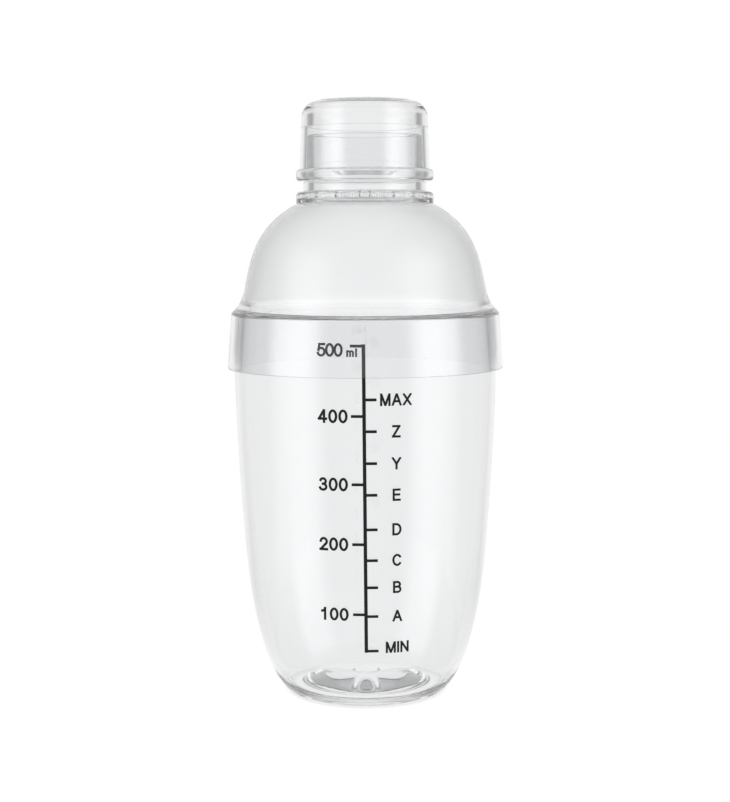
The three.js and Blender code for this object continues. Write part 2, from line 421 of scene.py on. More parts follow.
@dataclass(frozen=True)
class ClearPlastic:
    """Polished clear moulding: hard and glassy, faintly grey, with slow waves in its surface."""

    name: str
    tint: Colour = (0.965, 0.968, 0.972, 1.0)
    ior: float = 1.57
    roughness: float = 0.012
    haze: float = 0.02
    haze_size: float = 0.014
    wave_size: float = 0.022
    wave_height: float = 0.00012
    wave_strength: float = 0.12

    def material(self) -> bpy.types.Material:
        """Wires the finish.

        Returns:
            A new material.
        """
        material, bench = new_material(self.name)
        place = bench.add("TexCoord", output="Object")
        shader = self.shader(bench, self.handled(bench, place), self.waved(bench, place))
        bench.add("OutputMaterial", sockets={"Surface": shader})
        return material

    def handled(self, bench: Bench, place: Wire) -> Wire:
        """Roughness with the faint haze of handling: the polish, plus noise to the second power."""
        marks = bench.noise(place, self.haze_size, detail=4.0)
        return self.roughness + self.haze * (marks * marks)

    def waved(self, bench: Bench, place: Wire) -> Wire:
        """The slow waves of a moulding.

        Args:
            bench: Where to add the nodes.
            place: Object coordinates.

        Returns:
            The normal of the waved surface.
        """
        waves = bench.noise(place, self.wave_size, detail=1.0)
        sockets = {"Strength": self.wave_strength, "Distance": self.wave_height, "Height": waves}
        return bench.add("Bump", sockets=sockets)

    def shader(self, bench: Bench, roughness: Wire, normal: Wire) -> Wire:
        """The glassy shader.

        Args:
            bench: Where to add it.
            roughness: Its roughness, which changes over the surface.
            normal: Its normal, which changes too.

        Returns:
            The shader's output.
        """
        return bench.add("BsdfPrincipled", sockets={
            "Base Color": self.tint,
            "Roughness": roughness,
            "IOR": self.ior,
            "Transmission Weight": 1.0,
            "Normal": normal,
        })


@dataclass(frozen=True)
class FrostedPlastic(ClearPlastic):
    """Clear moulding with a satin texture where the mesh's satin attribute is 1."""

    satin_roughness: float = 0.235
    scatter: float = 0.38  # share of the light that the satin scatters back
    scatter_tint: Colour = (0.93, 0.935, 0.94, 1.0)
    satin_mottle: float = 0.035
    mottle_size: float = 0.006
    grain_size: float = 0.00035
    grain_height: float = 0.00002
    grain_strength: float = 0.1

    def material(self) -> bpy.types.Material:
        """Wires the finish.

        Returns:
            A new material.
        """
        material, bench = new_material(self.name)
        place = bench.add("TexCoord", output="Object")
        satin = bench.add("Attribute", {"attribute_name": SATIN_ATTRIBUTE}, output="Fac")
        polished = self.handled(bench, place)
        mottle = bench.noise(place, self.mottle_size, detail=3.0)
        frosted = self.satin_roughness + self.satin_mottle * mottle
        roughness = polished + satin * (frosted - polished)
        grain = bench.noise(place, self.grain_size, detail=1.0) * satin
        normal = bench.add("Bump", sockets={
            "Strength": self.grain_strength,
            "Distance": self.grain_height,
            "Height": grain,
            "Normal": self.waved(bench, place),
        })
        milky = bench.add("BsdfPrincipled", sockets={
            "Base Color": self.scatter_tint,
            "Roughness": roughness,
            "IOR": self.ior,
            "Normal": normal,
        })
        clear = self.shader(bench, roughness, normal)
        mixed = bench.add("MixShader", sockets={0: satin * self.scatter, 1: clear, 2: milky})
        bench.add("OutputMaterial", sockets={"Surface": mixed})
        return material


@dataclass(frozen=True)
class PrintedInk:
    """Black screen-printed ink: satin, with a slightly uneven coat."""

    name: str
    thin: Colour = (0.011, 0.011, 0.012, 1.0)
    thick: Colour = (0.004, 0.004, 0.0045, 1.0)
    gloss: float = 0.2
    roughness: float = 0.38
    mottle: float = 0.16
    mottle_size: float = 0.0009

    def material(self) -> bpy.types.Material:
        """Wires the finish.

        Returns:
            A new material.
        """
        material, bench = new_material(self.name)
        place = bench.add("TexCoord", output="Object")
        coat = bench.noise(place, self.mottle_size, detail=3.0)
        colour = bench.mixed(coat, self.thin, self.thick)
        shader = bench.add("BsdfPrincipled", sockets={
            "Base Color": colour,
            "Roughness": self.roughness + self.mottle * coat,
            "Specular IOR Level": self.gloss,
        })
        bench.add("OutputMaterial", sockets={"Surface": shader})
        return material


# Cup


@dataclass
class Cup:
    """The tapered cup: recessed base, crowned floor, bowl, body and coned rim."""

    wall: float = 0.002
    foot_radius: float = 0.0242
    foot_ring_width: float = 0.0034
    foot_sweep: float = 0.007
    base_wall: float = 0.0026
    floor_reach: float = 0.0007
    floor_sweep: float = 0.006
    rim_round: float = 0.0003
    crown_margin: float = 0.0006
    crown_height: float = 0.0048
    crown_power: int = 4
    crown_steps: int = 40
    recess_depth: float = 0.002
    recess_slope: float = 0.0005
    gate_radius: float = 0.0044
    gate_height: float = 0.0005
    bowl_radius: float = 0.03965
    bowl_height: float = 0.045
    bowl_rise: float = 0.0225
    bowl_lean: float = 0.082
    brim_radius: float = 0.043
    brim_height: float = 0.1074
    brim_lean: float = 0.013
    rim_height: float = 0.0176
    rim_taper: float = 0.00123
    edge: float = 0.0012  # rounding of the corners under the base
    floor_edge: float = 0.0009  # rounding of the corners inside it

    @property
    def rim_top(self) -> float:
        """Height of the rim."""
        return self.brim_height + self.rim_height

    @property
    def ring_inner(self) -> float:
        """Inner radius of the standing ring."""
        return self.foot_radius - self.foot_ring_width

    def rim_radius(self, height: float) -> float:
        """Outer radius of the coned rim at a height."""
        return self.brim_radius - self.rim_taper * (height - self.brim_height) / self.rim_height

    def under(self) -> np.ndarray:
        """Underside of the base.

        Returns:
            The gate mark, the recess and the inner edge of the standing ring, from the axis outwards.
        """
        gate_level = self.recess_depth - self.gate_height
        return np.array([
            (0.0, gate_level),
            (self.gate_radius - self.gate_height, gate_level),
            (self.gate_radius, self.recess_depth),
            (self.ring_inner - self.recess_slope, self.recess_depth),
            (self.ring_inner, 0.0),
        ])

    def bowl(self) -> np.ndarray:
        """Outer face of the bowl.

        Returns:
            A cubic curve from the standing ring up to the body.
        """
        return bezier(
            (self.foot_radius, 0.0),
            (self.foot_radius + self.foot_sweep, 0.0),
            (self.bowl_radius - self.bowl_lean * self.bowl_rise, self.bowl_height - self.bowl_rise),
            (self.bowl_radius, self.bowl_height),
        )

    def body(self) -> np.ndarray:
        """Outer face of the body and the rim.

        Returns:
            A cubic curve up to the brim, whose lean changes evenly, and one point at the rim's shoulder.
        """
        third = (self.brim_height - self.bowl_height) / 3
        shoulder = self.rim_top - self.rim_round
        body = bezier(
            (self.bowl_radius, self.bowl_height),
            (self.bowl_radius + self.bowl_lean * third, self.bowl_height + third),
            (self.brim_radius - self.brim_lean * third, self.brim_height - third),
            (self.brim_radius, self.brim_height),
        )
        return np.vstack([body, at(self.rim_radius(shoulder), shoulder)])

    def inside(self) -> np.ndarray:
        """Inner face of the cup.

        Returns:
            Crown, floor, bowl and body, from the axis up to the rim, with the floor's corners rounded.
        """
        body = beside(self.body(), self.wall)
        floor_end = self.foot_radius + self.floor_reach
        bowl = bezier(
            (floor_end, self.base_wall),
            (floor_end + self.floor_sweep, self.base_wall),
            (body[0, 0] - self.bowl_lean * self.bowl_rise, body[0, 1] - self.bowl_rise),
            body[0],
        )
        return softened(np.vstack([self.crown(), bowl[:-1], body]), self.floor_edge)

    def crown(self) -> np.ndarray:
        """The floor's raised middle.

        Returns:
            Points from the axis outwards: the height falls off with a power of the distance from the axis.
        """
        share = np.linspace(0.0, 1.0, self.crown_steps + 1)
        radius = share * (self.ring_inner + self.crown_margin)
        height = self.base_wall + self.crown_height * (1 - share ** self.crown_power)
        return np.column_stack([radius, height])

    def outline(self) -> np.ndarray:
        """The whole wall of the cup.

        Returns:
            Underside, outer face, flat rim with rounded corners and inner face, from axis to axis.
        """
        body = self.body()
        reach, shoulder = body[-1]
        outer = arc((reach - self.rim_round, shoulder), self.rim_round, 0.0, 90.0)[1:]
        inner = arc((reach - self.wall + self.rim_round, shoulder), self.rim_round, 90.0, 180.0)[:-1]
        outside = softened(np.vstack([self.under(), self.bowl()[:-1], body]), self.edge)
        return braced(np.vstack([outside, outer, inner, self.inside()[::-1]]))

    def outer_radius(self, heights: np.ndarray) -> np.ndarray:
        """Radius of the outer face above the standing ring, at several heights."""
        face = np.vstack([self.bowl()[:-1], self.body()])
        return np.interp(heights, face[:, 1], face[:, 0])

    def build(self, finish: ClearPlastic) -> bpy.types.Object:
        """Makes the cup in the place of its CAD node.

        Args:
            finish: What it is made of.

        Returns:
            The new piece.
        """
        piece = placed("clear_cup", turned("clear_cup", self.outline()), finish.material())
        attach(piece, "cup")
        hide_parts("cup")
        return piece


# Lid


@dataclass
class StrainerLid:
    """The lid: clear skirt, hollow flare, frosted dome, flange, collar, neck and strainer plate."""

    cup: Cup
    wall: float = 0.002
    skirt_wall: float = 0.002
    skirt_edge: float = 0.0003
    seat_width: float = 0.0022
    seat_to_corner: float = 0.0005
    flare_width: float = 0.0044
    flare_height: float = 0.008
    flare_run: float = 0.00135
    flare_climb: float = 0.0017
    flare_turn: float = 0.0053
    dome_height: float = 0.0275
    dome_lean: float = 0.2
    dome_rise: float = 0.0106
    shoulder_reach: float = 0.0132
    shoulder_drop: float = 0.00715
    flange_reach: float = 0.0024
    flange_height: float = 0.0039
    flange_edge: float = 0.0014
    collar_step: float = 0.0009
    collar_height: float = 0.0031
    neck_radius: float = 0.0192
    neck_wall: float = 0.0022
    neck_height: float = 0.0149
    neck_draft: float = 0.0355
    neck_edge: float = 0.0006
    strainer_drop: float = 0.0004
    strainer_thickness: float = 0.0018
    hole_radius: float = 0.002
    hole_edge: float = 0.0003
    hole_pitch: float = 0.0062
    hole_rings: int = 2
    holes_added: int = 6
    hole_segments: int = 40
    edge: float = 0.0002  # rounding of the other corners
    satin_rise: float = 0.0055  # height over which the frosting comes in on the flare
    satin_fade: float = 0.0012  # height over which it stops below the flange

    @property
    def skirt_bottom(self) -> float:
        """Height of the skirt's lower edge."""
        return self.cup.brim_height + SEAT_CLEARANCE

    @property
    def seat_level(self) -> float:
        """Height of the ledge that rests on the cup's rim."""
        return self.cup.rim_top + SEAT_CLEARANCE

    @property
    def corner_level(self) -> float:
        """Height of the skirt's upper corner."""
        return self.seat_level + self.seat_to_corner

    @property
    def dome_foot(self) -> float:
        """Height where the flare turns into the dome."""
        return self.corner_level + self.flare_height

    @property
    def dome_top(self) -> float:
        """Height where the dome meets the flange."""
        return self.dome_foot + self.dome_height

    @property
    def flange_top(self) -> float:
        """Height of the flange's upper face."""
        return self.dome_top + self.flange_height

    @property
    def collar_top(self) -> float:
        """Height of the ledge that the cap rests on."""
        return self.flange_top + self.collar_height

    @property
    def neck_top(self) -> float:
        """Height of the neck's mouth."""
        return self.collar_top + self.neck_height

    @property
    def collar_radius(self) -> float:
        """Outer radius of the collar."""
        return self.neck_radius + self.collar_step

    @property
    def flange_radius(self) -> float:
        """Outer radius of the flange."""
        return self.collar_radius + self.flange_reach

    @property
    def bore_radius(self) -> float:
        """Radius of the neck's bore and of the strainer plate."""
        return self.neck_radius - self.neck_wall

    @property
    def strainer_top(self) -> float:
        """Height of the strainer plate's upper face."""
        return self.flange_top - self.strainer_drop

    @property
    def strainer_bottom(self) -> float:
        """Height of the strainer plate's lower face."""
        return self.strainer_top - self.strainer_thickness

    def skirt_bore(self, height: float) -> float:
        """Inner radius of the skirt at a height."""
        return self.cup.rim_radius(height) + FIT_CLEARANCE

    def neck_outside(self, height: float) -> float:
        """Outer radius of the neck at a height."""
        return self.neck_radius - self.neck_draft * (height - self.collar_top)

    def flare(self) -> np.ndarray:
        """The hollow sweep above the skirt.

        Returns:
            A cubic curve from the skirt's corner to the foot of the dome.
        """
        corner = self.skirt_bore(self.corner_level) + self.skirt_wall
        foot = corner - self.flare_width
        return bezier(
            (corner, self.corner_level),
            (corner - self.flare_run, self.corner_level + self.flare_climb),
            (foot + self.dome_lean * self.flare_turn, self.dome_foot - self.flare_turn),
            (foot, self.dome_foot),
            steps=20,
        )

    def dome(self) -> np.ndarray:
        """The dome's outer face.

        Returns:
            A cubic curve from its foot to the flange.
        """
        foot = self.skirt_bore(self.corner_level) + self.skirt_wall - self.flare_width
        return bezier(
            (foot, self.dome_foot),
            (foot - self.dome_lean * self.dome_rise, self.dome_foot + self.dome_rise),
            (self.flange_radius + self.shoulder_reach, self.dome_top - self.shoulder_drop),
            (self.flange_radius, self.dome_top),
        )

    def outline(self) -> np.ndarray:
        """The whole wall of the lid.

        Returns:
            Points from under the strainer plate down the inside, up the outside and down the neck's bore.
        """
        skirt_foot = self.skirt_bore(self.skirt_bottom) + self.skirt_wall - self.skirt_edge
        flange_side = self.flange_radius - self.flange_edge
        neck_side = self.neck_outside(self.neck_top) - self.neck_edge
        inside = np.vstack([
            at(0.0, self.strainer_bottom),
            at(self.bore_radius, self.strainer_bottom),
            beside(self.dome(), self.wall)[::-1],
            at(self.skirt_bore(self.seat_level) - self.seat_width, self.seat_level),
            at(self.skirt_bore(self.seat_level), self.seat_level),
            at(self.skirt_bore(self.skirt_bottom), self.skirt_bottom),
        ])
        skirt = arc((skirt_foot, self.skirt_bottom + self.skirt_edge), self.skirt_edge, -90.0, 0.0, steps=8)
        neck = np.vstack([
            arc((flange_side, self.flange_top - self.flange_edge), self.flange_edge, 0.0, 90.0),
            at(self.collar_radius, self.flange_top),
            at(self.collar_radius, self.collar_top),
            at(self.neck_radius, self.collar_top),
            arc((neck_side, self.neck_top - self.neck_edge), self.neck_edge, 0.0, 90.0, steps=8),
        ])
        bore = np.vstack([
            at(self.bore_radius, self.neck_top),
            at(self.bore_radius, self.strainer_top),
            at(0.0, self.strainer_top),
        ])
        whole = np.vstack([inside, skirt, self.flare(), self.dome()[1:], neck, bore])
        return braced(softened(whole, self.edge))

    def satin(self, outline: np.ndarray) -> np.ndarray:
        """How frosted the lid is.

        Args:
            outline: Points of the lid's wall.

        Returns:
            For each point 1 on the outer face of flare and dome, fading at both ends, and 0 elsewhere. A
            point is on that face if it lies within a quarter of the wall from it.
        """
        face = np.vstack([self.flare(), self.dome()[1:]])
        outer = np.interp(outline[:, 1], face[:, 1], face[:, 0])
        on_face = np.abs(outline[:, 0] - outer) < self.wall / 4
        rise = (outline[:, 1] - self.corner_level) / self.satin_rise
        fall = (self.dome_top - outline[:, 1]) / self.satin_fade
        return on_face * np.clip(np.minimum(rise, fall), 0.0, 1.0)

    def hole_centres(self) -> np.ndarray:
        """Centres of the strainer's holes.

        Returns:
            One point in the middle, then evenly spaced rings with holes_added more points each time.
        """
        number = np.arange(1, self.hole_rings + 1)
        ring = np.repeat(number, self.holes_added * number)
        first = np.searchsorted(ring, ring)
        angle = 2 * math.pi * (np.arange(len(ring)) - first) / (self.holes_added * ring)
        spread = self.hole_pitch * ring
        rings = np.column_stack([spread * np.cos(angle), spread * np.sin(angle)])
        return np.vstack([np.zeros((1, 2)), rings])

    def drill(self) -> bpy.types.Object:
        """The strainer's holes as one cutter.

        Returns:
            An object of separate spools, each of which cuts a hole and rounds its edges.
        """
        over = self.strainer_thickness / 2
        wide = self.hole_radius + self.hole_edge
        spool = np.vstack([
            at(0.0, self.strainer_bottom - over),
            at(wide, self.strainer_bottom - over),
            arc((wide, self.strainer_bottom + self.hole_edge), self.hole_edge, 270.0, 180.0, steps=5),
            arc((wide, self.strainer_top - self.hole_edge), self.hole_edge, 180.0, 90.0, steps=5),
            at(wide, self.strainer_top + over),
            at(0.0, self.strainer_top + over),
        ])
        points, faces = swept(spool, self.hole_segments)
        centres = np.pad(self.hole_centres(), ((0, 0), (0, 1)))
        shifts = len(points) * np.arange(len(centres))
        many = [(group[None] + shifts[:, None, None]).reshape(-1, group.shape[1]) for group in faces]
        every = (points[None] + centres[:, None]).reshape(-1, 3)
        cutter = bpy.data.objects.new("drill", mesh_from("drill", every, many))
        bpy.context.scene.collection.objects.link(cutter)
        return cutter

    def build(self, finish: FrostedPlastic) -> bpy.types.Object:
        """Makes the lid in the place of its CAD node.

        Args:
            finish: What it is made of.

        Returns:
            The new piece, with the strainer's holes cut.
        """
        outline = self.outline()
        mesh = turned("frosted_lid", outline)
        on_poles = [0.0, 0.0]
        values = np.append(np.repeat(self.satin(outline[1:-1]), TURN_SEGMENTS), on_poles)
        satin = mesh.attributes.new(SATIN_ATTRIBUTE, "FLOAT", "POINT")
        satin.data.foreach_set("value", values.astype(np.float32))
        piece = placed("frosted_lid", mesh, finish.material())
        self.cut_holes(piece)
        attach(piece, "strainer_lid")
        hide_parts("strainer_lid")
        return piece

    def cut_holes(self, piece: bpy.types.Object) -> None:
        """Cuts the strainer's holes out of the lid and removes the cutter.

        Args:
            piece: The lid, which gets a new mesh.
        """
        cutter = self.drill()
        cut = piece.modifiers.new("strainer_holes", "BOOLEAN")
        cut.operation = "DIFFERENCE"
        cut.solver = "EXACT"
        cut.object = cutter
        finished = piece.evaluated_get(bpy.context.evaluated_depsgraph_get())
        result = bpy.data.meshes.new_from_object(finished)
        piece.modifiers.clear()
        piece.data = result
        spare = cutter.data
        bpy.data.objects.remove(cutter)
        bpy.data.meshes.remove(spare)


# Cap


@dataclass
class Cap:
    """The push-on cap: drafted wall, rounded lip, rounded top corner and a stepped bore."""

    lid: StrainerLid
    wall: float = 0.0018
    top: float = 0.002
    headroom: float = 0.0093
    corner: float = 0.0054
    step: float = 0.0017
    step_gap: float = 0.0028
    ceiling_corner: float = 0.0015
    bead_reach: float = 0.0013
    bead_height: float = 0.0038
    bead_edge: float = 0.0012
    edge: float = 0.0004  # rounding of the lip's inner corner and of the corner above it
    step_edge: float = 0.00008  # rounding of the step in the bore
    lip_run: float = 0.0012  # the lowest stretch of the bore, which takes the lip's rounding

    def bore(self, height: float) -> float:
        """Inner radius at a height, below the step."""
        return self.lid.neck_outside(height) + FIT_CLEARANCE

    def outline(self) -> np.ndarray:
        """The whole wall of the cap.

        Returns:
            Points from the ceiling down the stepped bore, round the lip and up to the top.
        """
        bottom = self.lid.collar_top + SEAT_CLEARANCE
        ceiling = self.lid.neck_top + self.headroom
        top = ceiling + self.top
        step_level = self.lid.neck_top + self.step_gap
        ceiling_side = ceiling - self.ceiling_corner
        ceiling_bend = self.bore(ceiling_side) - self.step - self.ceiling_corner
        bead_top = bottom + self.bead_height
        bead_bend = self.bore(bead_top) + self.wall + self.bead_reach - self.bead_edge
        corner_side = top - self.corner
        corner_bend = self.bore(corner_side) + self.wall - self.corner
        bore_end = bottom + self.lip_run
        bore = np.vstack([
            at(0.0, ceiling),
            arc((ceiling_bend, ceiling_side), self.ceiling_corner, 90.0, 0.0),
            at(self.bore(step_level) - self.step, step_level),
            at(self.bore(step_level), step_level),
            at(self.bore(bore_end), bore_end),
        ])
        outside = np.vstack([
            at(self.bore(bore_end), bore_end),
            at(self.bore(bottom), bottom),
            arc((bead_bend, bottom + self.bead_edge), self.bead_edge, -90.0, 0.0),
            arc((bead_bend, bead_top - self.bead_edge), self.bead_edge, 0.0, 90.0),
            at(self.bore(bead_top) + self.wall, bead_top),
            arc((corner_bend, corner_side), self.corner, 0.0, 90.0, steps=24),
            at(0.0, top),
        ])
        return braced(np.vstack([softened(bore, self.step_edge), softened(outside, self.edge)[1:]]))

    def build(self, finish: ClearPlastic) -> bpy.types.Object:
        """Makes the cap in the place of its CAD node.

        Args:
            finish: What it is made of.

        Returns:
            The new piece.
        """
        piece = placed("clear_cap", turned("clear_cap", self.outline()), finish.material())
        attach(piece, "cap")
        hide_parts("cap")
        return piece


# Printed scale


def line(*points: tuple[float, float]) -> np.ndarray:
    """A pen stroke along straight lines.

    Args:
        points: The corners of the stroke.

    Returns:
        Evenly spaced points along each line.
    """
    stops = np.array(points, float)
    where = np.linspace(0, len(stops) - 1, LINE_STEPS * (len(stops) - 1) + 1)
    return np.column_stack([np.interp(where, np.arange(len(stops)), stops[:, i]) for i in range(2)])


def bow(centre: tuple[float, float], radii: tuple[float, float], from_degrees: float,
        to_degrees: float) -> np.ndarray:
    """A pen stroke along part of an ellipse: its centre plus its radii times cosine and sine."""
    angles = np.radians(np.linspace(from_degrees, to_degrees, BOW_STEPS + 1))
    return np.array(centre) + np.array(radii) * np.column_stack([np.cos(angles), np.sin(angles)])


# Each sign is its width and its pen strokes, in a box where 1 is the height of a capital
SIGNS: dict[str, tuple[float, list[np.ndarray]]] = {
    "0": (0.60, [bow((0.30, 0.5), (0.30, 0.5), 0, 360)]),
    "1": (0.60, [line((0.36, 0.0), (0.36, 1.0)), bow((0.06, 1.04), (0.30, 0.30), -12, -84)]),
    "2": (0.60, [np.vstack([bow((0.30, 0.71), (0.28, 0.29), 172, -28), line((0.50, 0.52), (0.02, 0.0))]),
                 line((0.0, 0.0), (0.60, 0.0))]),
    "3": (0.60, [bow((0.28, 0.76), (0.25, 0.24), 158, -90), bow((0.28, 0.26), (0.30, 0.26), 90, -160)]),
    "4": (0.64, [line((0.46, 0.0), (0.46, 1.0)), line((0.43, 1.0), (0.0, 0.29)),
                 line((0.0, 0.27), (0.64, 0.27))]),
    "5": (0.60, [line((0.56, 1.0), (0.12, 1.0)), line((0.13, 1.0), (0.05, 0.48)),
                 bow((0.28, 0.33), (0.31, 0.33), 140, -160)]),
    "A": (0.76, [line((0.0, 0.0), (0.36, 1.0)), line((0.40, 1.0), (0.76, 0.0)),
                 line((0.15, 0.34), (0.61, 0.34))]),
    "B": (0.64, [line((0.0, 0.0), (0.0, 1.0)), line((0.0, 1.0), (0.34, 1.0)),
                 line((0.0, 0.53), (0.36, 0.53)), line((0.0, 0.0), (0.36, 0.0)),
                 bow((0.34, 0.765), (0.25, 0.235), 90, -90), bow((0.36, 0.265), (0.28, 0.265), 90, -90)]),
    "C": (0.74, [bow((0.38, 0.5), (0.38, 0.5), 42, 318)]),
    "D": (0.70, [line((0.0, 0.0), (0.0, 1.0)), line((0.0, 1.0), (0.30, 1.0)), line((0.0, 0.0), (0.30, 0.0)),
                 bow((0.30, 0.5), (0.40, 0.5), 90, -90)]),
    "E": (0.60, [line((0.0, 0.0), (0.0, 1.0)), line((0.0, 1.0), (0.58, 1.0)),
                 line((0.0, 0.52), (0.54, 0.52)), line((0.0, 0.0), (0.60, 0.0))]),
    "I": (0.02, [line((0.01, 0.0), (0.01, 1.0))]),
    "M": (0.80, [line((0.0, 0.0), (0.0, 1.0)), line((0.03, 1.0), (0.38, 0.0)),
                 line((0.42, 0.0), (0.77, 1.0)), line((0.80, 0.0), (0.80, 1.0))]),
    "N": (0.66, [line((0.0, 0.0), (0.0, 1.0)), line((0.02, 1.0), (0.64, 0.0)),
                 line((0.66, 0.0), (0.66, 1.0))]),
    "X": (0.68, [line((0.0, 0.0), (0.68, 1.0)), line((0.0, 1.0), (0.68, 0.0))]),
    "Y": (0.72, [line((0.0, 1.0), (0.36, 0.44)), line((0.72, 1.0), (0.36, 0.44)),
                 line((0.36, 0.46), (0.36, 0.0))]),
    "Z": (0.64, [line((0.02, 1.0), (0.62, 1.0)), line((0.62, 1.0), (0.0, 0.0)),
                 line((0.0, 0.0), (0.64, 0.0))]),
    "m": (0.86, [line((0.0, 0.0), (0.0, 0.72)), bow((0.215, 0.50), (0.215, 0.22), 180, 0),
                 line((0.43, 0.52), (0.43, 0.0)), bow((0.645, 0.50), (0.215, 0.22), 180, 0),
                 line((0.86, 0.52), (0.86, 0.0))]),
    "l": (0.02, [line((0.01, 0.0), (0.01, 1.0))]),
}


@dataclass(frozen=True)
class Lettering:
    """A plain upright letter of one pen width."""

    height: float
    pen: float
    spacing: float  # clear space between signs

    def strips(self, word: str, place: tuple[float, float], align: Align) -> list[np.ndarray]:
        """The pen strokes of a word as flat strips.

        Args:
            word: What to write.
            place: Distance along the cup's face and height of the word's foot line.
            align: Which part of the word stands at the place.

        Returns:
            Strips of quads, each an array of left and right edge points.
        """
        scale = self.height - self.pen
        widths = np.array([SIGNS[sign][0] * scale + self.pen for sign in word])
        lefts = np.cumsum(widths + self.spacing) - widths - self.spacing
        start = place[0] - align.value * (lefts[-1] + widths[-1])
        found = []
        for sign, left in zip(word, lefts):
            corner = np.array([start + left + self.pen / 2, place[1] + self.pen / 2])
            for stroke in SIGNS[sign][1]:
                strip = inked(stroke * scale + corner, self.pen)
                strip[..., 1] = np.clip(strip[..., 1], place[1], place[1] + self.height)
                found.append(strip)
        return found


def inked(path: np.ndarray, width: float) -> np.ndarray:
    """A flat strip along a path, with square ends half a width beyond it.

    Args:
        path: Points along the middle.
        width: Width of the strip.

    Returns:
        For each point of the path, its left and right edge points.
    """
    way = unit(np.gradient(path, axis=0))
    ends = path.copy()
    closed = np.allclose(path[0], path[-1])
    if not closed:
        ends[0] -= way[0] * width / 2
        ends[-1] += way[-1] * width / 2
    else:
        way[[0, -1]] = unit(way[:1] + way[-1:])
    left = np.column_stack([-way[:, 1], way[:, 0]]) * width / 2
    return np.stack([ends + left, ends - left], axis=1)


